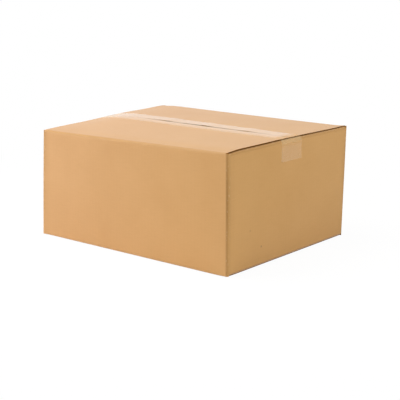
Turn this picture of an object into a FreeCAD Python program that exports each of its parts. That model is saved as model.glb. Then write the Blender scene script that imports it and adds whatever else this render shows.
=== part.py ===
import FreeCAD, Part
import math
import os

from FreeCAD import Vector

# A closed, taped shipping box. It is one folded sheet of corrugated board with four walls, eight
# flaps and a glued tab, and a strip of clear tape along the seam above and another below.
# Millimetres. X runs along the long walls, the front wall faces -Y, and +Z is up.
# The origin is on the ground, under the middle of the box.

# Outside size of the board box, without its tape
LENGTH = 380.0
WIDTH = 300.0
HEIGHT = 178.0

# The board and its folds
BOARD = 3.0
FOLD_RADIUS = 4.0
SLOT_WIDTH = 5.0
SLOT_DEPTH = 4.0
SEAM_GAP = 1.6
FLAP_CLEARANCE = 0.3
SIDE_CLEARANCE = 1.0

# The glued joint at the back of the left end
TAB_WIDTH = 35.0
TAB_TAPER = 12.0
TAB_END_GAP = 6.0
CUT_EDGE_SETBACK = 1.0
GLUE_THICKNESS = 0.2
GLUE_WIDTH = 20.0
GLUE_MARGIN = 4.0

# Clear packing tape, with the teeth that its dispenser leaves in the cut ends
TAPE_WIDTH = 50.0
TAPE_THICKNESS = 0.06
TAPE_OFF_CENTRE = 3.0
TAIL_RIGHT = 36.0
TAIL_LEFT = 40.0
LOWER_TAPE_SHORT = 3.0
TOOTH_PITCH = 2.0
TOOTH_DEPTH = 0.8

# How far a cutting solid runs past what it cuts
OVERCUT = 2.0

# Levels and lines that follow from those sizes
GROUND_FACE = TAPE_THICKNESS
TOP_FACE = GROUND_FACE + HEIGHT
MIDDLE = GROUND_FACE + HEIGHT / 2
INNER_DROP = BOARD + FLAP_CLEARANCE
FLAP_INSET = max(FOLD_RADIUS, (BOARD + SLOT_WIDTH) / 2)
INNER_FLAP_INSET = max(FLAP_INSET, BOARD + SIDE_CLEARANCE)
FLAP_REACH = (WIDTH - SEAM_GAP) / 2
JOINT_DROP = BOARD + GLUE_THICKNESS
TAB_TRIM = TAB_END_GAP + TAB_TAPER
FLAP_END = LENGTH / 2 - FLAP_INSET


def outline(stations):
    """A face bounded by straight edges between stations, and an arc at each that has 3 points."""
    edges = []
    for i, station in enumerate(stations):
        edges.append(Part.makeLine(stations[i - 1][-1], station[0]))
        if len(station) == 3:
            edges.append(Part.Arc(*station).toShape())
    return Part.Face(Part.Wire(edges))


def bent_strip(corners, radii, thickness):
    """Section of a strip that turns right at each corner between its ends. `corners` are those of
    one face and `radii` are the bends there. The strip lies to the right of that face, or to the
    left where the thickness is negative, and a radius of 0 leaves a sharp corner."""
    near, far = [], []
    runs = [(b - a).normalize() for a, b in zip(corners, corners[1:])]
    bends = [0] + radii + [0]
    for corner, radius, before, after in zip(corners, bends, runs[:1] + runs, runs + runs[-1:]):
        side_before = Vector(before.y, -before.x, 0)
        side_after = Vector(after.y, -after.x, 0)
        if radius == 0:
            reach = thickness / (1 + side_before.dot(side_after))
            near.append((corner,))
            far.append((corner + (side_before + side_after) * reach,))
            continue
        half_turn = before.getAngle(after) / 2
        centre = corner - before * (radius * math.tan(half_turn)) + side_before * radius
        middle = (side_before + side_after).normalize()
        for line, r in ((near, radius), (far, radius - thickness)):
            line.append((centre - side_before * r, centre - middle * r, centre - side_after * r))
    return outline(near + [station[::-1] for station in reversed(far)])


def stand_up(face, heading, start, reach):
    """Stands a face drawn in XY on its X line, turns that line to `heading` in degrees, and draws
    it out to its left, from `start` over `reach`."""
    solid = face.extrude(Vector(0, 0, reach))
    solid.translate(Vector(0, 0, -start - reach))
    solid.rotate(Vector(), Vector(1, 0, 0), 90)
    solid.rotate(Vector(), Vector(0, 0, 1), heading)
    return solid


def flat(points):
    """A face in XY with straight sides."""
    return outline([(Vector(x, y, 0),) for x, y in points])


def upside_down(shape):
    """The same form at the other end of the box's height."""
    return shape.mirror(Vector(0, 0, MIDDLE), Vector(0, 0, 1))


def tab_trimming():
    """What is cut from the glue tab at its upper end: a step at the fold, then a slope."""
    left = -LENGTH / 2
    top = TOP_FACE - SLOT_DEPTH
    slope = TAB_TAPER / (TAB_WIDTH - FOLD_RADIUS)
    fold_end = left + FOLD_RADIUS
    past_edge = left + TAB_WIDTH + OVERCUT
    profile = flat([
        (fold_end, top + OVERCUT),
        (fold_end, top - TAB_END_GAP),
        (past_edge, top - TAB_END_GAP - slope * (past_edge - fold_end)),
        (past_edge, top + OVERCUT),
    ])
    outside = WIDTH / 2 - BOARD - GLUE_THICKNESS / 2
    depth = BOARD + GLUE_THICKNESS + OVERCUT
    return stand_up(profile, 0, outside - depth, depth)


def walls():
    """Each wall's heading, distance from the middle, flap drop, and its span between the slots."""
    short_half = WIDTH / 2 - INNER_FLAP_INSET
    return [
        (-90, WIDTH / 2, 0, -FLAP_END, FLAP_END),
        (90, WIDTH / 2, 0, -FLAP_END, FLAP_END),
        (0, LENGTH / 2, INNER_DROP, -short_half, short_half),
        (180, LENGTH / 2, INNER_DROP, JOINT_DROP - short_half, short_half),
    ]


def wall_with_flaps(heading, distance, drop, start, end):
    """One wall between its slots, with the flap folded in at its top and at its bottom. The wall
    faces `heading`, and its flaps lie `drop` inside the box's top and bottom faces. Each flap is
    cut level with the others on the flat sheet, so one that folds lower reaches as much further."""
    free_edge = distance - FLAP_REACH - drop
    section = bent_strip([
        Vector(free_edge, TOP_FACE - drop, 0), Vector(distance, TOP_FACE - drop, 0),
        Vector(distance, GROUND_FACE + drop, 0), Vector(free_edge, GROUND_FACE + drop, 0),
    ], [FOLD_RADIUS] * 2, BOARD)
    return stand_up(section, heading, start, end - start)


def beyond_fold(heading, distance, drop, start, end):
    """The space where that wall would stand if it went straight on past its upper fold."""
    fold = TOP_FACE - drop - FOLD_RADIUS
    inside, outside = distance - BOARD - OVERCUT, distance + OVERCUT
    above = TOP_FACE + OVERCUT
    space = flat([(inside, fold), (outside, fold), (outside, above), (inside, above)])
    return stand_up(space, heading, start, end - start)


def corner_folds():
    """The walls as one strip round the box, with the glue tab at its end. It reaches up and down
    to the slots at the corners, and between the slots only to the folds of the flaps."""
    x, y = LENGTH / 2, WIDTH / 2
    plan = bent_strip([
        Vector(-x + CUT_EDGE_SETBACK, y, 0), Vector(x, y, 0), Vector(x, -y, 0), Vector(-x, -y, 0),
        Vector(-x, y - JOINT_DROP, 0), Vector(-x + TAB_WIDTH, y - JOINT_DROP, 0),
    ], [FOLD_RADIUS] * 4, BOARD)
    ring = plan.extrude(Vector(0, 0, HEIGHT - 2 * SLOT_DEPTH))
    ring.translate(Vector(0, 0, GROUND_FACE + SLOT_DEPTH))
    upper = [tab_trimming()] + [beyond_fold(*wall) for wall in walls()]
    return ring.cut(upper + [upside_down(cutter) for cutter in upper])


def carton():
    """The folded sheet. The long walls' flaps meet over those of the end walls."""
    return corner_folds().multiFuse([wall_with_flaps(*wall) for wall in walls()]).removeSplitter()


def joint_glue():
    """The glue between the tab and the inside of the back wall."""
    height = HEIGHT - 2 * (SLOT_DEPTH + TAB_TRIM + GLUE_MARGIN)
    glue = Part.makeBox(GLUE_WIDTH, GLUE_THICKNESS, height)
    middle = (FOLD_RADIUS + TAB_WIDTH) / 2 - LENGTH / 2
    glue.translate(Vector(middle - GLUE_WIDTH / 2, WIDTH / 2 - JOINT_DROP, MIDDLE - height / 2))
    return glue


def tooth_cutter():
    """What the dispenser's blade takes off: a zigzag over the tape's width, in XY, with the tape
    above it. The points of the teeth lie on the X line."""
    count = max(1, round(TAPE_WIDTH / TOOTH_PITCH))
    pitch = TAPE_WIDTH / count
    edge = TAPE_OFF_CENTRE - TAPE_WIDTH / 2
    zigzag = [(edge, 0)]
    for i in range(count):
        zigzag += [(edge + (i + 0.5) * pitch, TOOTH_DEPTH), (edge + (i + 1) * pitch, 0)]
    return flat(zigzag + [(edge + TAPE_WIDTH, -OVERCUT), (edge, -OVERCUT)])


def tape_shoulder(end):
    """Where the tape's tail and its run down from the flap's cut edge would meet, on one end. The
    tape is tight, so it leaves the cut edge along the line that just touches the fold below it."""
    flap_edge = Vector(FLAP_END, TOP_FACE, 0)
    fold = Vector(LENGTH / 2 - FOLD_RADIUS, TOP_FACE - INNER_DROP - FOLD_RADIUS, 0)
    to_edge = flap_edge - fold
    touch = math.atan2(to_edge.y, to_edge.x) - math.acos(FOLD_RADIUS / to_edge.Length)
    return Vector(end * LENGTH / 2, fold.y + FOLD_RADIUS * math.tan(touch / 2), 0)


def top_tape():
    """Clear tape along the seam of the top flaps, and down over both ends."""
    ends = {-1: TOP_FACE - TAIL_LEFT, 1: TOP_FACE - TAIL_RIGHT}
    section = bent_strip([
        Vector(-LENGTH / 2, ends[-1] - TOOTH_DEPTH, 0), tape_shoulder(-1),
        Vector(-FLAP_END, TOP_FACE, 0), Vector(FLAP_END, TOP_FACE, 0),
        tape_shoulder(1), Vector(LENGTH / 2, ends[1] - TOOTH_DEPTH, 0),
    ], [FOLD_RADIUS, 0, 0, FOLD_RADIUS], -TAPE_THICKNESS)
    tape = stand_up(section, 0, TAPE_OFF_CENTRE - TAPE_WIDTH / 2, TAPE_WIDTH)
    for end, level in ends.items():
        teeth = stand_up(tooth_cutter(), 90, -end * LENGTH / 2 - OVERCUT, 2 * OVERCUT)
        teeth.translate(Vector(0, 0, level))
        tape = tape.cut(teeth)
    return tape


def bottom_tape():
    """Clear tape along the seam of the bottom flaps, which the box stands on."""
    half = FLAP_END - LOWER_TAPE_SHORT
    tape = Part.makeBox(2 * (half + TOOTH_DEPTH), TAPE_WIDTH, TAPE_THICKNESS)
    tape.translate(Vector(-half - TOOTH_DEPTH, TAPE_OFF_CENTRE - TAPE_WIDTH / 2, 0))
    teeth = tooth_cutter().extrude(Vector(0, 0, 2 * OVERCUT)).mirror(Vector(), Vector(1, -1, 0))
    teeth.translate(Vector(-half, 0, -OVERCUT))
    return tape.cut([teeth, teeth.mirror(Vector(), Vector(1, 0, 0))])


os.makedirs("parts", exist_ok=True)
for make in (carton, top_tape, bottom_tape, joint_glue):
    shape = make()
    print(make.__name__, shape.isValid(), len(shape.Solids), len(shape.Faces), round(shape.Volume, 2))
    shape.exportStep("parts/" + make.__name__ + ".step")
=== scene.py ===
import math

import bpy
import numpy as np
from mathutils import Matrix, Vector


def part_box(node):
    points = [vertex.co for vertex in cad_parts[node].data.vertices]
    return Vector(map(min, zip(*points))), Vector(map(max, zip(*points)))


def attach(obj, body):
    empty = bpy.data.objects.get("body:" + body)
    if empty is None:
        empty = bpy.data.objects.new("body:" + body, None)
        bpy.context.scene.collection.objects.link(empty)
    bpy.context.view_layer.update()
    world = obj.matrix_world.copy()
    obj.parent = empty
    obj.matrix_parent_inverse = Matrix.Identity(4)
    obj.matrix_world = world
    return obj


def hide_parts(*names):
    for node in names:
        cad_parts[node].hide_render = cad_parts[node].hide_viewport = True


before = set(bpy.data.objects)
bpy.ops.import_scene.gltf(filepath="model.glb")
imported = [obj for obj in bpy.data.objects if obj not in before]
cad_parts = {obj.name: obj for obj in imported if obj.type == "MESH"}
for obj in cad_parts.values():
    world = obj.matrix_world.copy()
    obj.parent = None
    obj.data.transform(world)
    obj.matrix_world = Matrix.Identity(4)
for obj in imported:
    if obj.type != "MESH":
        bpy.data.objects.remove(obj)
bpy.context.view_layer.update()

# The carton: one die-cut sheet of single-wall corrugated board, which is two brown kraft liners
# with a fluted sheet glued between them. It is scored, folded round four upright corners, glued
# at its tab, and closed with its long walls' flaps over those of the end walls.

MM = 0.001

# The end walls stand at -X and X, and the long walls at -Y and Y.
low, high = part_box("carton")
X, Y = high.x, high.y
GROUND, TOP = low.z, high.z
BOARD = 3.0 * MM
LINER = 0.35 * MM
FOLD_RADIUS = 4.0 * MM
SLOT_DEPTH = 2.0 * MM
FLAP_INSET = 4.0 * MM
INNER_DROP = 3.3 * MM
JOINT_DROP = 3.2 * MM
CUT_EDGE_SETBACK = 1.0 * MM
TAB_WIDTH = 35.0 * MM
TAB_TRIM = 18.0 * MM
SEAM_GAP = 1.6 * MM

# The seam's width at its ends, and what it gains past its middle, as shares of that gap
SEAM_AT_ENDS, SEAM_GAINS = 0.6, 0.7

# The flutes stand open this deep at a cut, or less near a fold and at the cuts underneath. Cuts
# that meet nearly in line, as far as SAME_WAY, open one way.
CHANNEL_DEPTH = 2.2 * MM
OPENS_OVER = 8.0 * MM
OPEN_UNDERNEATH = 0.4
LEAST_OPEN = 0.02
SAME_WAY = 0.9

# Steps of the mesh round a fold and over the tab, along flat board and from a fold onwards, and
# the turn in degrees that leaves an edge sharp
FOLD_STEPS = 10
TAB_STEPS = 6
CELL = 7.0 * MM
NEAR_FOLD = (1.5 * MM, 4.0 * MM, 9.0 * MM)
SHARP_BOARD = 40

# How far the box's corners have given way, in mm to the right, back and up
UPPER_LEFT_FRONT = (5.3, 3.7, 0.0)
UPPER_LEFT_BACK = (-1.2, 0.0, 1.8)
UPPER_RIGHT_BACK = (2.4, 2.2, -0.3)
RIGHT_BACK = (-1.0, 0.0, 0.0)
RIGHT_FRONT = (-0.7, -0.5, 0.0)
LOWER_RIGHT_FRONT = (0.4, 0.2, 0.0)

# How far its faces, flaps and folds have moved at most, in mm
BULGE = 0.4
ROLL = 0.3
FRONT_FLAP_TWIST = 7.6
LEFT_ENDS_WAVER = 0.75
BACK_SAG = 0.9
SEAM_CROWN = 0.8
FRONT_FOLD_DIP, DEEPER_AT_RIGHT = 0.9, 1.0
REAR_FOLD_DIP, SHALLOWER_AT_RIGHT = 0.5, 1.0
BLUNTED_CORNER = 1.4
RAISED_FOOT = 0.9
REAR_FLAP_STEP = 0.62
PRESSED_ABOVE, PRESSED_MORE_BEHIND = 1.2, 0.7
PRESSED_BELOW = 1.9


def near(distance, reach):
    """1 at a place, fading to 0 over a reach in mm."""
    return np.exp(-(distance / (reach * MM)) ** 2)


def settle(points):
    """The box as it stands. Its upper corners are a little out of square, and the front flap is
    twisted down towards the left end, where the flaps' cut ends waver. The upper folds dip, the
    far corner is blunted, and the near one stands up a little at its foot. The rear flap is higher
    along the seam, the ends of the outer flaps are pressed thin, and the long walls bulge."""
    x, y, z = points.T
    right, back = (x + X) / (2 * X), (y + Y) / (2 * Y)
    above, below = z - GROUND, TOP - z
    up = np.clip(above / (TOP - GROUND), 0, 1)
    left, front, down = 1 - right, 1 - back, 1 - up
    moved = points.copy()
    for share, give in ((left * front * up, UPPER_LEFT_FRONT), (left * back * up, UPPER_LEFT_BACK),
                        (right * back * up, UPPER_RIGHT_BACK), (right * back, RIGHT_BACK),
                        (right * front, RIGHT_FRONT), (right * front * down, LOWER_RIGHT_FRONT)):
        moved += share[:, None] * np.array(give) * MM

    left_end = near(x + X, 30)
    twist = (1 - left_end) * left * np.clip(1 - 2 * back, 0, 1) + left_end * front
    waver = left_end * np.sin(2 * math.pi * (back - 0.1)) ** 2
    sag = np.sin(math.pi * np.clip(right, 0, 1)) * back
    roll = np.sin(9.0 * x + 1.3) * np.sin(11.0 * y + 0.4)
    rise = up * (ROLL * roll - FRONT_FLAP_TWIST * twist - LEFT_ENDS_WAVER * waver - BACK_SAG * sag
                 + SEAM_CROWN * near(y, 80))

    at_top = up ** 8
    front_dip = DEEPER_AT_RIGHT * near(x - X, 120) + FRONT_FOLD_DIP * (1 - left_end)
    rear_dip = REAR_FOLD_DIP - SHALLOWER_AT_RIGHT * near(x - X, 12)
    rise -= (near(y + Y, 18) * front_dip + near(y - Y, 25) * rear_dip) * at_top
    rise -= BLUNTED_CORNER * near(x + X - 9 * MM, 12) * near(y - Y, 10) * at_top
    rise += RAISED_FOOT * near(x - X, 12) * near(y + Y, 12) * near(above, 12)

    along_seam = 1 / (1 + np.exp((np.abs(x - 18 * MM) - 105 * MM) / (12 * MM)))
    ripple = REAR_FLAP_STEP + 0.25 * np.sin(70 * x + 0.1) + 0.15 * np.sin(160 * x - 2.1)
    on_rear_flap = (1 + np.tanh(y / (0.4 * MM))) / 2 * near(y, 70) * (below < BOARD + 0.2 * MM)
    rise += along_seam * ripple * on_rear_flap

    at_ends = near(X - np.abs(x), 12)
    thinned_above = np.clip(below / BOARD, 0, 1) * near(below, 50)
    thinned_below = np.clip(above / BOARD, 0, 1) * near(above, 50)
    rise += at_ends * (PRESSED_ABOVE + PRESSED_MORE_BEHIND * back) * thinned_above
    rise -= at_ends * PRESSED_BELOW * thinned_below
    moved[:, 2] += rise * MM

    bulge = np.sin(10.0 * x + np.where(y > 0, 1.7, 0.7)) * np.sin(math.pi * up)
    moved[:, 1] -= BULGE * MM * bulge * np.sign(y)
    return moved


def spread(length):
    """Distances along a flat stretch, closer together near its folds."""
    middle = length - 2 * NEAR_FOLD[-1]
    count = round(middle / CELL)
    inner = [NEAR_FOLD[-1] + middle * i / count for i in range(1, count)]
    ends = [0.0] + list(NEAR_FOLD)
    return ends + inner + [length - d for d in reversed(ends)]


class Column:
    """One upright line of the sheet: its place round the box, the heights where its folds or its
    cut ends begin, and how far the board there is darkened, partly as crushed by scoring and partly
    as painted crease shade."""

    def __init__(self, along, point, normal, levels, crush_and_shade=0.0):
        self.along, self.levels, self.crush_and_shade = along, levels, crush_and_shade
        self.point, self.normal = Vector(point), Vector(normal)


# All columns, the numbers of those that follow each other round the walls and the tab, and the
# numbers of each wall's own columns with its flaps' drop
columns, ring, flap_strips = [], [], []
corner_levels = (GROUND + SLOT_DEPTH, TOP - SLOT_DEPTH)


def add_column(along, point, normal, levels, crush_and_shade=0.0):
    """Adds a column to the sheet, and gives its number."""
    columns.append(Column(along, point, normal, levels, crush_and_shade))
    return len(columns) - 1


def add_panel(start, end, normal, drop, shade_at_start, shade_at_end):
    """The columns of a wall between two corner folds. All of them run on into the wall's flaps. The
    board is darkened a little beyond its folds, as painted shade."""
    start, end = Vector(start), Vector(end)
    levels = (GROUND + drop + FOLD_RADIUS, TOP - drop - FOLD_RADIUS)
    origin = columns[ring[-1]].along
    width = (end - start).length
    strip = [add_column(origin + d, start.lerp(end, d / width), normal, levels)
             for d in spread(width)]
    # Painted shade fading out from each corner fold
    for side, shade_ramp in ((strip, shade_at_start), (strip[::-1], shade_at_end)):
        for number, crush_and_shade in zip(side, shade_ramp):
            columns[number].crush_and_shade = crush_and_shade
    ring.extend(strip)
    flap_strips.append((strip, drop))


def add_corner(centre, first_angle):
    """Columns round a quarter of a circle, clockwise from above. The crease is darkened, as painted
    shade with some crushed board, most on the long wall's side of the fold, and half as much past
    its middle."""
    origin = columns[ring[-1]].along
    for i in range(1, FOLD_STEPS):
        turn = i / FOLD_STEPS * math.pi / 2
        normal = Vector((math.cos(first_angle - turn), math.sin(first_angle - turn)))
        towards_end = math.asin(min(1.0, abs(normal.x))) / (math.pi / 2)
        # Painted crease shade, with crushed board, rising from the long wall's side of the fold
        crush_and_shade = min(1.0, towards_end * 4) - 0.5 * max(0.0, min(1.0, (towards_end - 0.5) * 4))
        ring.append(add_column(origin + turn * FOLD_RADIUS, Vector(centre) + normal * FOLD_RADIUS,
                               normal, corner_levels, crush_and_shade))


def add_tab(y):
    """The glue tab's columns. Its upper and lower ends slope in over the first two steps."""
    step = (TAB_WIDTH - FOLD_RADIUS) / TAB_STEPS
    for i in range(TAB_STEPS + 1):
        trim = TAB_TRIM * min(1.0, i / 2)
        ring.append(add_column(columns[ring[-1]].along + step * (i > 0),
                               (-X + FOLD_RADIUS + step * i, y), (0, 1),
                               (corner_levels[0] + trim, corner_levels[1] - trim)))


# How far the board is darkened, as painted shade with some crushing, at the first columns from a
# corner fold, and where up the right end's corners the painted crease shade is strongest, over how
# much of their height
SLIGHT, SOME, HEAVY = (0.05,), (0.55, 0.4, 0.2, 0.1), (0.9, 0.6, 0.3, 0.1)
DARKEST_AT, DARKEST_OVER = 0.62, 0.28

corner_x, corner_y = X - FOLD_RADIUS, Y - FOLD_RADIUS
tab_y = Y - JOINT_DROP
ring.append(add_column(CUT_EDGE_SETBACK - FOLD_RADIUS, (-X + CUT_EDGE_SETBACK, Y), (0, 1),
                       corner_levels))
add_panel((-X + FLAP_INSET, Y), (X - FLAP_INSET, Y), (0, 1), 0.0, SLIGHT, SLIGHT)
add_corner((corner_x, corner_y), math.pi / 2)
add_panel((X, corner_y), (X, -corner_y), (1, 0), INNER_DROP, HEAVY, SOME)
add_corner((corner_x, -corner_y), 0.0)
add_panel((X - FLAP_INSET, -Y), (-X + FLAP_INSET, -Y), (0, -1), 0.0, SLIGHT, HEAVY)
add_corner((-corner_x, -corner_y), -math.pi / 2)
add_panel((-X, -corner_y), (-X, tab_y - FOLD_RADIUS), (-1, 0), INNER_DROP, SOME, SOME)
add_corner((-corner_x, tab_y - FOLD_RADIUS), math.pi)
add_tab(tab_y)

# The sheet's rows, from the cut edge of the lower flaps up the walls to that of the upper flaps
wall_steps = spread(TOP - GROUND - 2 * FOLD_RADIUS)
wall_shares = [step / wall_steps[-1] for step in wall_steps]
flap_shares = [step / corner_y for step in spread(corner_y)[1:]]
fold_turns = [i / FOLD_STEPS * math.pi / 2 for i in range(1, FOLD_STEPS + 1)]
rows = ([("flap", -1, share) for share in reversed(flap_shares)]
        + [("fold", -1, turn) for turn in reversed(fold_turns)]
        + [("wall", 0, share) for share in wall_shares]
        + [("fold", 1, turn) for turn in fold_turns]
        + [("flap", 1, share) for share in flap_shares])
first_wall_row = len(flap_shares) + len(fold_turns)
last_wall_row = first_wall_row + len(wall_shares) - 1


def seam_gap(x):
    """The flaps meet loosely past the middle of the seam and more closely towards its ends."""
    return SEAM_GAP * (SEAM_AT_ENDS + SEAM_GAINS * near(x - 10 * MM, 80))


def corner_wear_and_shade(column, share):
    """The corners' darkening, painted crease shade with crushed board, is strongest above the
    middle of the right end's corners, and at the top of the left end's.
    """
    if column.point.x > 0:
        darkening = math.exp(-((share - DARKEST_AT) / DARKEST_OVER) ** 2)
        return column.crush_and_shade * (0.55 + 0.5 * darkening)
    return column.crush_and_shade * (0.2 + 0.8 * share)


def fold_wear_and_shade(column, turn, side):
    """The end walls' folds are darkened, more so further round, partly rubbed by the edges of the
    outer flaps and partly as painted shade under them. The long walls' upper folds get painted
    shade on their rounding instead, given as less than no wear."""
    if abs(column.normal.x) > 0.5:
        return 0.1 + 0.9 * math.sin(turn)
    return -math.sqrt(max(0.0, math.sin(2 * turn))) * (side > 0)


def on_sheet(key):
    """Where the outer face is at one crossing of the sheet's grid, its normal, its place on the
    flat sheet, how far it is darkened as crushed board and painted shade (below 0, painted shade on
    a long wall's upper fold), and how far a flute there stands open at a cut."""
    column, (kind, side, share) = columns[key[0]], rows[key[1]]
    bottom, top = column.levels
    foot, normal, up = column.point.to_3d(), column.normal.to_3d(), Vector((0, 0, 1))
    if kind == "wall":
        height = bottom + share * (top - bottom)
        wear_and_shade = corner_wear_and_shade(column, share)
        # The rows where a wall meets its folds take the folds' wear and painted shade
        if column.crush_and_shade == 0 and share in (0, 1):
            wear_and_shade = fold_wear_and_shade(column, 0.0, side)
        return (foot + up * height, normal, (column.along, height), wear_and_shade,
                float(column.crush_and_shade == 0))
    level = top if side > 0 else bottom
    if kind == "fold":
        place = foot - normal * (FOLD_RADIUS - FOLD_RADIUS * math.cos(share))
        place += up * (level + side * FOLD_RADIUS * math.sin(share))
        return (place, normal * math.cos(share) + up * side * math.sin(share),
                (column.along, level + side * FOLD_RADIUS * share),
                fold_wear_and_shade(column, share, side), 0.0)
    gap = seam_gap(column.point.x) if abs(column.normal.y) > 0.5 else SEAM_GAP
    reach = share * (Y - gap / 2 - FOLD_RADIUS)
    place = foot - normal * (FOLD_RADIUS + reach) + up * (level + side * FOLD_RADIUS)
    flute = min(1.0, reach / OPENS_OVER) * (1.0 if side > 0 else OPEN_UNDERNEATH)
    unrolled = level + side * (FOLD_RADIUS * math.pi / 2 + reach)
    return place, up * side, (column.along, unrolled), 0.0, flute


def smooth(mesh, sharp_degrees):
    """Smooth shading, with an edge left sharp where it turns by more than an angle."""
    mesh.shade_smooth()
    mesh.set_sharp_from_angle(angle=math.radians(sharp_degrees))


def settled_mesh(name, points, faces, sharp_degrees):
    """A closed mesh, settled as the box is."""
    mesh = bpy.data.meshes.new(name)
    mesh.from_pydata(settle(np.array([list(p) for p in points])).tolist(), [], faces)
    smooth(mesh, sharp_degrees)
    return mesh


def ways_inward(cut_sides, spots):
    """The ways into the board at each crossing on a cut, one for each cut that meets there."""
    inward = {}
    for a, b, middle in cut_sides:
        edge = (spots[b][0] - spots[a][0]).normalized()
        to_middle = middle - spots[a][0]
        direction = (to_middle - edge * to_middle.dot(edge)).normalized()
        for key in (a, b):
            known = inward.setdefault(key, [])
            if all(direction.dot(other) < SAME_WAY for other in known):
                known.append(direction)
    return inward


def sheet_mesh():
    """The sheet as a closed solid, with an open channel between its liners at every cut edge."""
    walls = range(first_wall_row, last_wall_row)
    folded = [j for j in range(len(rows) - 1) if j not in walls]
    cells = [(a, b, j) for a, b in zip(ring, ring[1:]) for j in walls]
    for strip, drop in flap_strips:
        cells += [(a, b, j) for a, b in zip(strip, strip[1:]) for j in folded]
    loops = [((a, j), (a, j + 1), (b, j + 1), (b, j)) for a, b, j in cells]
    spots = {key: on_sheet(key) for loop in loops for key in loop}
    sides = {}
    for loop in loops:
        middle = sum((spots[k][0] for k in loop), Vector()) / 4
        for a, b in zip(loop, loop[1:] + loop[:1]):
            sides.setdefault(frozenset((a, b)), []).append((a, b, middle))
    cut_sides = [found[0] for found in sides.values() if len(found) == 1]
    inward = ways_inward(cut_sides, spots)
    layers = {"out": (0.0, 0), "under": (LINER, 0), "under_deep": (LINER, 1),
              "over_deep": (BOARD - LINER, 1), "over": (BOARD - LINER, 0), "in": (BOARD, 0)}
    points, flat, crush_and_shade, index = [], [], [], {}

    def vertex(key, layer):
        if (key, layer) not in index:
            place, normal, on_blank, wear_and_shade, flute = spots[key]
            depth, recess = layers[layer]
            channel = CHANNEL_DEPTH * recess * max(LEAST_OPEN, flute)
            index[key, layer] = len(points)
            points.append(place - normal * depth + sum(inward.get(key, []), Vector()) * channel)
            flat.append(on_blank)
            crush_and_shade.append(wear_and_shade)
        return index[key, layer]

    faces, kinds = [], []
    for loop in loops:
        faces.append([vertex(k, "out") for k in loop])
        faces.append([vertex(k, "in") for k in reversed(loop)])
        kinds += [0, 0]
    for a, b, middle in cut_sides:
        for first, second in zip(list(layers), list(layers)[1:]):
            faces.append([vertex(b, first), vertex(a, first), vertex(a, second), vertex(b, second)])
            kinds.append(1)
    mesh = settled_mesh("carton_board", points, faces, SHARP_BOARD)
    mesh.polygons.foreach_set("material_index", kinds)
    flat_map = mesh.uv_layers.new(name="flat_sheet")
    for loop in mesh.loops:
        flat_map.data[loop.index].uv = flat[loop.vertex_index]
    # Per point, how far the board is darkened by crushing and by painted shade in creases and folds
    mesh.attributes.new("crush_and_shade", "FLOAT", "POINT").data.foreach_set("value", crush_and_shade)
    return mesh


class Value:
    """A number in a node tree. Sums written with it add their Math nodes."""

    def __init__(self, nodes, socket):
        self.nodes, self.socket = nodes, socket

    def _sum(self, operation, first, second=0.0):
        return self.nodes.number("ShaderNodeMath", {"operation": operation}, {0: first, 1: second})

    def __add__(self, other):
        return self._sum("ADD", self, other)

    def __sub__(self, other):
        return self._sum("SUBTRACT", self, other)

    def __rsub__(self, other):
        return self._sum("SUBTRACT", other, self)

    def __mul__(self, other):
        return self._sum("MULTIPLY", self, other)

    def __truediv__(self, other):
        return self._sum("DIVIDE", self, other)

    def __rtruediv__(self, other):
        return self._sum("DIVIDE", other, self)

    def __or__(self, other):
        """The greater of the two."""
        return self._sum("MAXIMUM", self, other)

    def __abs__(self):
        return self._sum("ABSOLUTE", self)

    def sine(self):
        return self._sum("SINE", self)

    def within(self, low, high):
        """0 below low, 1 above high, and smooth between."""
        return self.nodes.number("ShaderNodeMapRange", {"interpolation_type": "SMOOTHSTEP"},
                                 {"Value": self, "From Min": low, "From Max": high})

    __radd__, __rmul__, __ror__ = __add__, __mul__, __or__


class Nodes:
    """A node tree under construction."""

    def __init__(self, tree):
        self.tree = tree
        tree.nodes.clear()

    def node(self, kind, settings=None, sockets=None):
        """Adds a node. Its settings are set first, then its sockets get their values or links. A
        list is for a socket that takes several links."""
        node = self.tree.nodes.new(kind)
        for name, value in (settings or {}).items():
            setattr(node, name, value)
        for name, given in (sockets or {}).items():
            socket = node.inputs[name] if isinstance(name, int) else next(
                s for s in node.inputs if name in (s.identifier, s.name) and s.enabled)
            for value in given if isinstance(given, list) else [given]:
                value = getattr(value, "socket", value)
                if isinstance(value, bpy.types.NodeSocket):
                    self.tree.links.new(value, socket)
                else:
                    socket.default_value = value
        return node

    def number(self, kind, settings=None, sockets=None, output=0):
        """Adds a node, and gives one of its outputs as a number."""
        return Value(self, self.node(kind, settings, sockets).outputs[output])

    def place(self):
        """The shaded point's place on the part."""
        return self.node("ShaderNodeTexCoord").outputs["Object"]

    def axes(self, vector):
        """A vector's three numbers."""
        return [Value(self, axis)
                for axis in self.node("ShaderNodeSeparateXYZ", None, {0: vector}).outputs]

    def mix(self, factor, first, second):
        """One colour over another."""
        node = self.node("ShaderNodeMix", {"data_type": "RGBA"},
                         {"Factor_Float": factor, "A_Color": first, "B_Color": second})
        return next(s for s in node.outputs if s.identifier == "Result_Color")

    def noise(self, where, per_metre, stretch=(1, 1, 1), detail=3.0, roughness=0.5):
        """Noise from 0 to 1, about 0.5, with its cells narrowed by stretch."""
        mapping = self.node("ShaderNodeMapping", None, {"Vector": where, "Scale": stretch})
        return self.number("ShaderNodeTexNoise", None,
                           {"Vector": mapping.outputs[0], "Scale": per_metre, "Detail": detail,
                            "Roughness": roughness})

    def shader_mix(self, factor, first, second):
        """One shader over another."""
        return self.node("ShaderNodeMixShader", None,
                         {0: factor, 1: first.outputs[0], 2: second.outputs[0]})

    def end(self, shader, output="ShaderNodeOutputMaterial"):
        """Ends the tree in a shader."""
        self.node(output, None, {"Surface": shader.outputs[0]})

    def end_opaque(self, sockets):
        """Ends the tree in one opaque surface."""
        self.end(self.node("ShaderNodeBsdfPrincipled", None, sockets))


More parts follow.
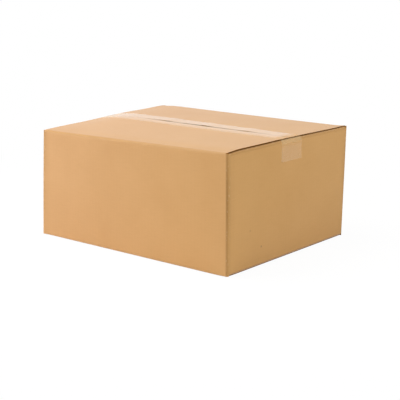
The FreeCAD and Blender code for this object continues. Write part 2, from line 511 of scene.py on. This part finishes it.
def material(name):
    """A new material, and its node tree."""
    made = bpy.data.materials.new(name)
    made.use_nodes = True
    return made, Nodes(made.node_tree)


KRAFT = (0.700, 0.392, 0.172, 1)
# A painted shade tint: the kraft yellower, for the right end
KRAFT_SHADE_TINT = (0.700, 0.392, 0.112, 1)
KRAFT_DARK = (0.560, 0.290, 0.112, 1)
KRAFT_PALE = (0.800, 0.480, 0.230, 1)
# Darker brown for crushed board and painted shade in creases and folds
CRUSH_AND_SHADE_BROWN = (0.430, 0.215, 0.064, 1)
FIBRE = (0.330, 0.170, 0.070, 1)
# Duller, darker brown: painted shade on the long walls' upper folds
PAINTED_FOLD_SHADE = (0.610, 0.343, 0.139, 1)
BARE_FIBRE = (0.850, 0.600, 0.360, 1)
# The cut edges' brown: their raw fibres, darkened further as painted shade in the open flute
# channels
CUT_SHADED_DARK = (0.340, 0.150, 0.035, 1)
CUT_SHADED_PALE = (0.480, 0.240, 0.075, 1)
FLUTE_PITCH = 6.4 * MM
FLUTE_RELIEF = 0.05 * MM

# How much each of these shows in the paper's colour
CLOUDY = 0.5
STREAKED = 0.28
PAINTED_FLUTE_SHADE = 0.018
EVEN = 0.55
# The next is painted shade in creases and folds, with crushed board; the one after, painted shade
# on the long walls' upper folds
CRUSH_AND_SHADE_DARKNESS = 0.6
FOLD_SHADE_STRENGTH = 0.8
FLECKED = 0.35
TORN = 0.4

# Small dark marks on the right end, each with its darkness
SCUFFS = (((X - 0.8 * MM, -71.1 * MM, 29.0 * MM), 0.55),
          ((X - 0.8 * MM, -98.1 * MM, 57.5 * MM), 0.3))
SCUFF_CORE, SCUFF_EDGE = 0.6 * MM, 2.4 * MM


def kraft_liner():
    """Brown kraft paper over flutes: cloudy, streaked across the flutes, with dark fibres, faint
    painted shade stripes along the flutes, and a painted shade tint that makes it yellower towards
    the right end and on it. Where the scores have crushed it, it is darker, partly as crushed board
    and partly as painted shade in the creases and folds, with torn pale fibres. On the long walls'
    upper folds it is a duller, darker brown, which is painted shade."""
    made, nodes = material("kraft_liner")
    flat = nodes.node("ShaderNodeUVMap", {"uv_map": "flat_sheet"}).outputs[0]
    place = nodes.place()
    clouds = nodes.noise(place, per_metre=14.0, detail=4.0)
    streaks = nodes.noise(flat, per_metre=60.0, stretch=(1.0, 9.0, 1.0), detail=4.0)
    fibres = nodes.noise(place, per_metre=900.0, detail=2.0, roughness=0.7)
    flecks = nodes.noise(flat, per_metre=700.0, stretch=(0.35, 2.2, 1.0), detail=1.0)
    tears = nodes.noise(flat, per_metre=420.0, stretch=(1.0, 0.4, 1.0), detail=2.0)
    # How far this point is darkened by crushing and by painted crease and fold shade
    crush_and_shade = nodes.number("ShaderNodeAttribute", {"attribute_name": "crush_and_shade"}, None, "Fac")
    flutes = (nodes.axes(flat)[0] * (2 * math.pi / FLUTE_PITCH)).sine()
    along = nodes.axes(place)[0]

    # The flutes' term is painted shade: faint stripes where the flutes ridge the liner, beside
    # their bump
    tone = (clouds - 0.5) * CLOUDY + (streaks - 0.5) * STREAKED + flutes * PAINTED_FLUTE_SHADE + 0.5
    colour = nodes.mix(tone.within(0.0, 1.0), KRAFT_DARK, KRAFT_PALE)
    # Painted shade tint: yellower towards the right end and fully on the right end wall, the duller
    # tone of its less lit side
    shade_tint = (along.within(-X, X) * 0.5) | along.within(X - 4 * MM, X - 1.5 * MM)
    colour = nodes.mix(EVEN, colour, nodes.mix(shade_tint, KRAFT, KRAFT_SHADE_TINT))
    # Painted shade with crushed board: darker brown in the creases, beside the corner folds and on
    # the end walls' folds
    colour = nodes.mix(crush_and_shade * CRUSH_AND_SHADE_DARKNESS, colour, CRUSH_AND_SHADE_BROWN)
    # Painted shade on the long walls' upper folds, where the value is below 0
    colour = nodes.mix(crush_and_shade * -FOLD_SHADE_STRENGTH, colour, PAINTED_FOLD_SHADE)
    colour = nodes.mix(flecks.within(0.70, 0.80) * FLECKED, colour, FIBRE)
    torn = tears.within(0.58, 0.68) * crush_and_shade.within(0.2, 0.5)
    colour = nodes.mix(torn * TORN, colour, BARE_FIBRE)
    for spot, darkness in SCUFFS:
        gap = nodes.number("ShaderNodeVectorMath", {"operation": "DISTANCE"}, {0: place, 1: spot},
                           "Value")
        colour = nodes.mix((1 - gap.within(SCUFF_CORE, SCUFF_EDGE)) * darkness, colour, FIBRE)
    bump = nodes.node("ShaderNodeBump", None, {
        "Height": flutes * 0.35 + fibres * 0.25, "Distance": FLUTE_RELIEF, "Strength": 0.6})
    nodes.end_opaque({"Base Color": colour, "Roughness": 0.24 + fibres * 0.2,
                      "Normal": bump.outputs[0], "IOR": 1.22})
    return made


def bare_paper(name, dark, pale, per_metre, detail, sheen):
    """Paper with no smooth face of its own: speckled and dull."""
    made, nodes = material(name)
    grain = nodes.noise(nodes.place(), per_metre, detail=detail)
    nodes.end_opaque({"Base Color": nodes.mix(grain.within(0.3, 0.7), dark, pale),
                      "Roughness": 0.9, "Specular IOR Level": sheen})
    return made


def put(name, data):
    """A new object in the scene."""
    made = bpy.data.objects.new(name, data)
    bpy.context.scene.collection.objects.link(made)
    return made


carton = put("carton_board", sheet_mesh())
carton.data.materials.append(kraft_liner())
# The cut edges: raw board, darker as painted shade in their open channels
carton.data.materials.append(
    bare_paper("cut_board_and_shade", CUT_SHADED_DARK, CUT_SHADED_PALE, per_metre=1500.0, detail=2.0, sheen=0.0))
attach(carton, "root")
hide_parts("carton")

# The fluted sheet: the wavy paper between the liners. It shows where a cut crosses the flutes, at
# the seams of the outer flaps. Along the other cuts the flutes lie open lengthwise.

FLUTE_PAPER = 0.25 * MM
SET_BACK = 0.1 * MM
POINTS_PER_WAVE = 16
WELD = 0.002 * MM
SHARP_PAPER = 50
FLUTE_DARK = (0.400, 0.215, 0.090, 1)
FLUTE_PALE = (0.560, 0.330, 0.150, 1)


def flute_lines():
    """Lines along those cuts, in the middle of the board, with the way into the board."""
    places, into, edges = [], [], []
    for strip, drop in flap_strips:
        if drop > 0:
            continue
        inward = columns[strip[0]].normal.to_3d()
        for row in (len(rows) - 1, 0):
            for n, column in enumerate(strip):
                place, normal = on_sheet((column, row))[:2]
                if n:
                    edges.append((len(places) - 1, len(places)))
                places.append(place - normal * BOARD / 2 + inward * SET_BACK)
                into.append(inward)
    mesh = bpy.data.meshes.new("flute_lines")
    mesh.from_pydata(places, edges, [])
    mesh.attributes.new("into_board", "FLOAT_VECTOR", "POINT").data.foreach_set(
        "vector", [c for way in into for c in way])
    return mesh


def flute_tree():
    """A tree that draws a wave along each line, then into the board, with the paper's thickness."""
    tree = bpy.data.node_groups.new("fluted_sheet", "GeometryNodeTree")
    for name, kind in (("Lines", "NodeSocketGeometry"), ("Pitch", "NodeSocketFloat"),
                       ("Height", "NodeSocketFloat"), ("Depth", "NodeSocketFloat"),
                       ("Paper", "NodeSocketFloat"), ("Material", "NodeSocketMaterial")):
        tree.interface.new_socket(name, in_out="INPUT", socket_type=kind)
    tree.interface.new_socket("Fluted sheet", in_out="OUTPUT", socket_type="NodeSocketGeometry")
    nodes = Nodes(tree)
    given = nodes.node("NodeGroupInput").outputs
    pitch, height = Value(nodes, given["Pitch"]), Value(nodes, given["Height"])
    curve = nodes.node("GeometryNodeMeshToCurve", None, {"Mesh": given["Lines"]})
    fine = nodes.node("GeometryNodeResampleCurve", {"mode": "LENGTH"},
                      {"Curve": curve.outputs[0], "Length": pitch / POINTS_PER_WAVE})
    along = nodes.number("GeometryNodeSplineParameter", None, None, "Length")
    into = nodes.node("GeometryNodeInputNamedAttribute", {"data_type": "FLOAT_VECTOR"},
                      {"Name": "into_board"}).outputs["Attribute"]
    tangent = nodes.node("GeometryNodeInputTangent").outputs[0]
    side = nodes.node("ShaderNodeVectorMath", {"operation": "CROSS_PRODUCT"},
                      {0: tangent, 1: into}).outputs[0]
    wave = (along * (2 * math.pi) / pitch).sine() * height
    offset = nodes.node("ShaderNodeVectorMath", {"operation": "SCALE"}, {0: side, "Scale": wave})
    waved = nodes.node("GeometryNodeSetPosition", None,
                       {"Geometry": fine.outputs[0], "Offset": offset.outputs[0]})
    line = nodes.node("GeometryNodeCurveToMesh", None, {"Curve": waved.outputs[0]})
    ribbon = nodes.node("GeometryNodeExtrudeMesh", {"mode": "EDGES"},
                        {"Mesh": line.outputs[0], "Offset": into, "Offset Scale": given["Depth"]})
    front = nodes.node("GeometryNodeExtrudeMesh", {"mode": "FACES"},
                       {"Mesh": ribbon.outputs[0], "Offset Scale": given["Paper"],
                        "Individual": False})
    back = nodes.node("GeometryNodeFlipFaces", None, {"Mesh": ribbon.outputs[0]})
    both = nodes.node("GeometryNodeJoinGeometry", None, {0: [front.outputs[0], back.outputs[0]]})
    closed = nodes.node("GeometryNodeMergeByDistance", None,
                        {"Geometry": both.outputs[0], "Distance": WELD})
    real = nodes.node("GeometryNodeRealizeInstances", None, {"Geometry": closed.outputs[0]})
    painted = nodes.node("GeometryNodeSetMaterial", None,
                         {"Geometry": real.outputs[0], "Material": given["Material"]})
    nodes.node("NodeGroupOutput", None, {0: painted.outputs[0]})
    return tree


def grown(name, lines, tree, values):
    """The plain mesh that a tree makes from some lines."""
    source = put(name, lines)
    modifier = source.modifiers.new(name, "NODES")
    modifier.node_group = tree
    for item in tree.interface.items_tree:
        if item.in_out == "INPUT" and item.name in values:
            modifier[item.identifier] = values[item.name]
    graph = bpy.context.evaluated_depsgraph_get()
    mesh = bpy.data.meshes.new_from_object(source.evaluated_get(graph))
    source.modifiers.clear()
    source.data = mesh
    return source


fluted = grown("fluted_sheet", flute_lines(), flute_tree(), {
    "Pitch": FLUTE_PITCH, "Height": BOARD / 2 - LINER - FLUTE_PAPER / 2,
    "Depth": CHANNEL_DEPTH - 2 * SET_BACK, "Paper": FLUTE_PAPER,
    "Material": bare_paper("flute_paper", FLUTE_DARK, FLUTE_PALE, per_metre=1200.0, detail=3.0,
                           sheen=0.15)})
places = np.empty(3 * len(fluted.data.vertices))
fluted.data.vertices.foreach_get("co", places)
fluted.data.vertices.foreach_set("co", settle(places.reshape(-1, 3)).ravel())
smooth(fluted.data, SHARP_PAPER)
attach(fluted, "root")
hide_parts("carton")

# The tape: clear packing film with a glossy face, drawn tight from a hand dispenser, whose blade
# leaves teeth in its ends. It lies along the seam of the outer flaps, steps down over their cut
# ends and is pressed onto both end walls.

TAPE_THICKNESS = 0.06 * MM
FILM_LIFT = 0.03 * MM
tape_low, tape_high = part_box("top_tape")
TAPE_WIDTH = tape_high.y - tape_low.y
TAIL_ENDS = {-1: TOP - 40.0 * MM, 1: TOP - 35.0 * MM}
TOOTH_PITCH = 2.0 * MM
TOOTH_DEPTH = 0.8 * MM
SKEW_LEFT, SKEW_RIGHT = 2.5 * MM, -3.2 * MM

# Steps of the mesh along half of the flat run, down past the cut ends, over the fold and down the
# tail
SEAM_STEPS, DROP_STEPS, BEND_STEPS, TAIL_STEPS = 80, 5, 6, 12
SHARP_FILM = 50


def heading(angle):
    """A direction in X and Z, at an angle above the right."""
    return Vector((math.cos(angle), math.sin(angle)))


def tape_path():
    """Points of the tape's lower face from the middle of the box to the fold of the right end's
    inner flap, each with its outward normal, in X and Z."""
    flap_edge = Vector((X - FLAP_INSET, TOP))
    fold = Vector((X - FOLD_RADIUS, TOP - INNER_DROP - FOLD_RADIUS))
    to_edge = flap_edge - fold
    touch = math.atan2(to_edge.y, to_edge.x) - math.acos(FOLD_RADIUS / to_edge.length)
    line = [(Vector((0, TOP)).lerp(flap_edge, i / SEAM_STEPS), Vector((0, 1)))
            for i in range(SEAM_STEPS + 1)]
    slope = heading(touch)
    line += [(flap_edge.lerp(fold + slope * FOLD_RADIUS, i / DROP_STEPS), slope)
             for i in range(1, DROP_STEPS + 1)]
    for i in range(1, BEND_STEPS + 1):
        out = heading(touch * (1 - i / BEND_STEPS))
        line.append((fold + out * FOLD_RADIUS, out))
    return line


def tape_points():
    """The whole tape: rows along it, columns across it, with the teeth at both ends."""
    half = tape_path()
    tail_top = half[-1][0].y
    line = []
    for end in (-1, 1):
        tail = [(Vector((X, tail_top + (TAIL_ENDS[end] - tail_top) * i / TAIL_STEPS)),
                 Vector((1, 0))) for i in range(1, TAIL_STEPS + 1)]
        side = [(Vector((end * p.x, p.y)), Vector((end * n.x, n.y))) for p, n in half + tail]
        line += side[::-1] if end < 0 else side[1:]
    across = 2 * round(TAPE_WIDTH / TOOTH_PITCH) + 1
    grid = []
    for r, (p, n) in enumerate(line):
        front_edge = tape_low.y + SKEW_LEFT + (SKEW_RIGHT - SKEW_LEFT) * (p.x + X) / (2 * X)
        row = []
        for c in range(across):
            tooth = TOOTH_DEPTH if r in (0, len(line) - 1) and c % 2 else 0.0
            place = Vector((p.x, front_edge + TAPE_WIDTH * c / (across - 1), p.y + tooth))
            row.append((place, Vector((n.x, 0, n.y))))
        grid.append(row)
    return grid


def film_mesh(name, grid):
    """A closed film of the tape's thickness over a grid of points and normals."""
    tall, wide = len(grid), len(grid[0])
    points = [p + n * (FILM_LIFT + layer * TAPE_THICKNESS)
              for layer in (0, 1) for row in grid for p, n in row]

    def at(r, c, layer):
        return layer * tall * wide + r * wide + c

    faces = []
    for r in range(tall - 1):
        for c in range(wide - 1):
            cell = [(r, c), (r + 1, c), (r + 1, c + 1), (r, c + 1)]
            faces.append([at(*k, 1) for k in cell])
            faces.append([at(*k, 0) for k in reversed(cell)])
    border = ([(0, c) for c in range(wide)]
              + [(r, wide - 1) for r in range(1, tall)]
              + [(tall - 1, c) for c in range(wide - 2, -1, -1)]
              + [(r, 0) for r in range(tall - 2, 0, -1)])
    for a, b in zip(border, border[1:] + border[:1]):
        faces.append([at(*a, 0), at(*a, 1), at(*b, 1), at(*b, 0)])
    return settled_mesh(name, points, faces, SHARP_FILM)


WHITE = (1, 1, 1, 1)
MILK = (0.95, 0.76, 0.44, 1)
MILKINESS, PATCHY_MILKINESS, SHOULDER_MILKINESS = 0.10, 0.02, 0.25
SHINE = 0.8

# Where the film has turned down an end, where it lies loose before the right end, its front part
# across, and the foot and the crest of the shoulder between the flap's cut end and the wall
TURNED_DOWN = (TOP - 13.0 * MM, TOP - 6.0 * MM)
LOOSE = (X - 29.0 * MM, X - 7.0 * MM)
FRONT_PART = (-32.0 * MM, -2.0 * MM)
SHOULDER_FOOT = (TOP - 9.0 * MM, TOP - 5.0 * MM)
SHOULDER_CREST = (TOP - 1.5 * MM, TOP)


def clear_film():
    """Clear film with a trace of amber milkiness from its glue, more of it on the shoulders, and a
    gloss on its outer face that is weaker along its front edge and before the right end."""
    made, nodes = material("clear_film")
    place = nodes.place()
    along, across, height = nodes.axes(place)
    wrinkle = nodes.noise(place, per_metre=120.0, stretch=(0.25, 1.0, 1.0))
    patches = nodes.noise(place, per_metre=60.0, stretch=(0.5, 1.0, 1.0))
    bump = nodes.node("ShaderNodeBump", None, {
        "Height": wrinkle, "Distance": 0.05 * MM, "Strength": 0.3}).outputs[0]
    clear = nodes.node("ShaderNodeBsdfTransparent", None, {"Color": WHITE})
    milk = nodes.node("ShaderNodeBsdfDiffuse", None, {"Color": MILK})
    gloss = nodes.node("ShaderNodeBsdfGlossy", None,
                       {"Color": WHITE, "Roughness": 0.18, "Normal": bump})

    outer = 1 - nodes.number("ShaderNodeNewGeometry", None, None, "Backfacing")
    turned_down = 1 - height.within(*TURNED_DOWN)
    stuck = (1 - along.within(*LOOSE)) | turned_down
    flat = (across.within(*FRONT_PART) | turned_down) * stuck
    shoulder = height.within(*SHOULDER_FOOT) * (1 - height.within(*SHOULDER_CREST))
    haze = (MILKINESS + patches.within(0.4, 0.8) * PATCHY_MILKINESS
            + shoulder * SHOULDER_MILKINESS) * outer
    mirror = nodes.number("ShaderNodeFresnel", None, {"IOR": 1.48, "Normal": bump}) * outer
    film = nodes.shader_mix(mirror * flat * SHINE, nodes.shader_mix(haze, clear, milk), gloss)
    shadow = nodes.node("ShaderNodeLightPath").outputs["Is Shadow Ray"]
    nodes.end(nodes.shader_mix(shadow, film, clear))
    return made


film = clear_film()
top_tape = put("top_tape_film", film_mesh("top_tape_film", tape_points()))
top_tape.data.materials.append(film)
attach(top_tape, "root")
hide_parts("top_tape")

bottom_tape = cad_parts["bottom_tape"]
bottom_tape.data.materials.clear()
bottom_tape.data.materials.append(film)

# The glue: a stripe of white glue that has dried between the tab and the back wall. It holds the
# sheet together as a tube.

GLUE_DARK = (0.600, 0.500, 0.360, 1)
GLUE_PALE = (0.740, 0.660, 0.520, 1)


def dried_glue():
    """White glue, dried to a dull cream."""
    made, nodes = material("dried_glue")
    cloudy = nodes.noise(nodes.place(), per_metre=300.0)
    nodes.end_opaque({"Base Color": nodes.mix(cloudy, GLUE_DARK, GLUE_PALE), "Roughness": 0.6})
    return made


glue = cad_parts["joint_glue"]
glue.data.materials.clear()
glue.data.materials.append(dried_glue())

# The floor, the light and the camera: a white sweep, soft light from above and from both sides,
# and a view that looks down a little on the near right corner.

FLOOR_HALF = 6.0
FLOOR_WHITE = (0.9, 0.9, 0.9, 1)
FLOOR_VEIL = (0.05, 0.05, 0.05, 1)
NEAR_STRENGTH = 0.96
ROOM_STRENGTH = 0.29

# How far from the middle the floor turns plain white, and how far inside the walls it is dark
PLAIN_FROM, PLAIN_BEYOND = 0.35, 0.8
DARK_WITHIN, LIT_BEYOND = -20.0 * MM, -10.0 * MM


def seen(nodes):
    """1 for the rays that show something to the eye, also in gloss or through clear film."""
    rays = nodes.node("ShaderNodeLightPath").outputs
    return Value(nodes, rays["Is Camera Ray"]) | rays["Is Glossy Ray"] | rays["Is Transmission Ray"]


def white_floor():
    """A white floor that is dark under the box, keeps a faint shadow beside it, and is plain
    white further off."""
    made, nodes = material("white_floor")
    place = nodes.place()
    plain = nodes.node("ShaderNodeBsdfDiffuse", None, {"Color": FLOOR_WHITE})
    veil = nodes.node("ShaderNodeBsdfDiffuse", None, {"Color": FLOOR_VEIL})
    glow = nodes.node("ShaderNodeEmission", None, {"Color": WHITE, "Strength": NEAR_STRENGTH})
    shaded = nodes.node("ShaderNodeAddShader", None, {0: glow.outputs[0], 1: veil.outputs[0]})
    white = nodes.node("ShaderNodeEmission", None, {"Color": WHITE, "Strength": 1.0})
    distance = nodes.number("ShaderNodeVectorMath", {"operation": "LENGTH"}, {0: place}, "Value")
    away = nodes.shader_mix(distance.within(PLAIN_FROM, PLAIN_BEYOND), shaded, white)
    x, y = nodes.axes(place)[:2]
    past_walls = (abs(x) - X) | (abs(y) - Y)
    shown = nodes.shader_mix(past_walls.within(DARK_WITHIN, LIT_BEYOND), plain, away)
    nodes.end(nodes.shader_mix(seen(nodes), plain, shown))
    return made


def floor_mesh():
    """A square that the box stands on the middle of."""
    mesh = bpy.data.meshes.new("floor")
    corners = [(x * FLOOR_HALF, y * FLOOR_HALF, 0) for x, y in ((-1, -1), (1, -1), (1, 1), (-1, 1))]
    mesh.from_pydata(corners, [], [(0, 1, 2, 3)])
    return mesh


floor = put("floor", floor_mesh())
floor.data.materials.append(white_floor())

world = bpy.data.worlds.new("white_room")
bpy.context.scene.world = world
world.use_nodes = True
air = Nodes(world.node_tree)
room = air.node("ShaderNodeBackground", None, {"Color": WHITE, "Strength": ROOM_STRENGTH})
backdrop = air.node("ShaderNodeBackground", None, {"Color": WHITE, "Strength": 1.0})
air.end(air.shader_mix(seen(air), room, backdrop), "ShaderNodeOutputWorld")


def soft_light(name, place, aim, size, power):
    """A square soft box that points at a spot on the box."""
    light = bpy.data.lights.new(name, "AREA")
    light.shape, light.size, light.energy = "SQUARE", size, power
    lamp = put(name, light)
    lamp.location = place
    lamp.rotation_euler = (Vector(aim) - Vector(place)).to_track_quat("-Z", "Y").to_euler()


soft_light("overhead", place=(-0.6, -0.5, 1.8), aim=(0, 0, 0.1), size=1.4, power=25.0)
soft_light("left", place=(-1.2, -1.1, 0.5), aim=(-0.1, -0.1, 0.09), size=0.8, power=10.0)
soft_light("right", place=(1.9, 0.5, 0.9), aim=(0.1, 0, 0.1), size=1.2, power=12.7)

# The view's angles and lens, and its place in lengths of the box
VIEW_TURN = math.radians(39.50)
VIEW_RISE = math.radians(13.02)
FOCAL_PIXELS = 1032.0
IMAGE_PIXELS = 400
SENSOR_MM = 36.0
AIM_RIGHT, AIM_UP, DISTANCE = 0.0337, 0.1464, 4.379

backwards = Vector((math.sin(VIEW_TURN) * math.cos(VIEW_RISE),
                    -math.cos(VIEW_TURN) * math.cos(VIEW_RISE), math.sin(VIEW_RISE)))
sideways = Vector((0, 0, 1)).cross(backwards).normalized()
upwards = backwards.cross(sideways)
view = bpy.data.cameras.new("camera")
view.sensor_width = SENSOR_MM
view.lens = FOCAL_PIXELS / IMAGE_PIXELS * SENSOR_MM
camera = put("camera", view)
camera.location = (sideways * AIM_RIGHT + upwards * AIM_UP + backwards * DISTANCE) * 2 * X
camera.rotation_euler = backwards.to_track_quat("Z", "Y").to_euler()
bpy.context.scene.camera = camera
bpy.context.scene.view_settings.view_transform = "Standard"
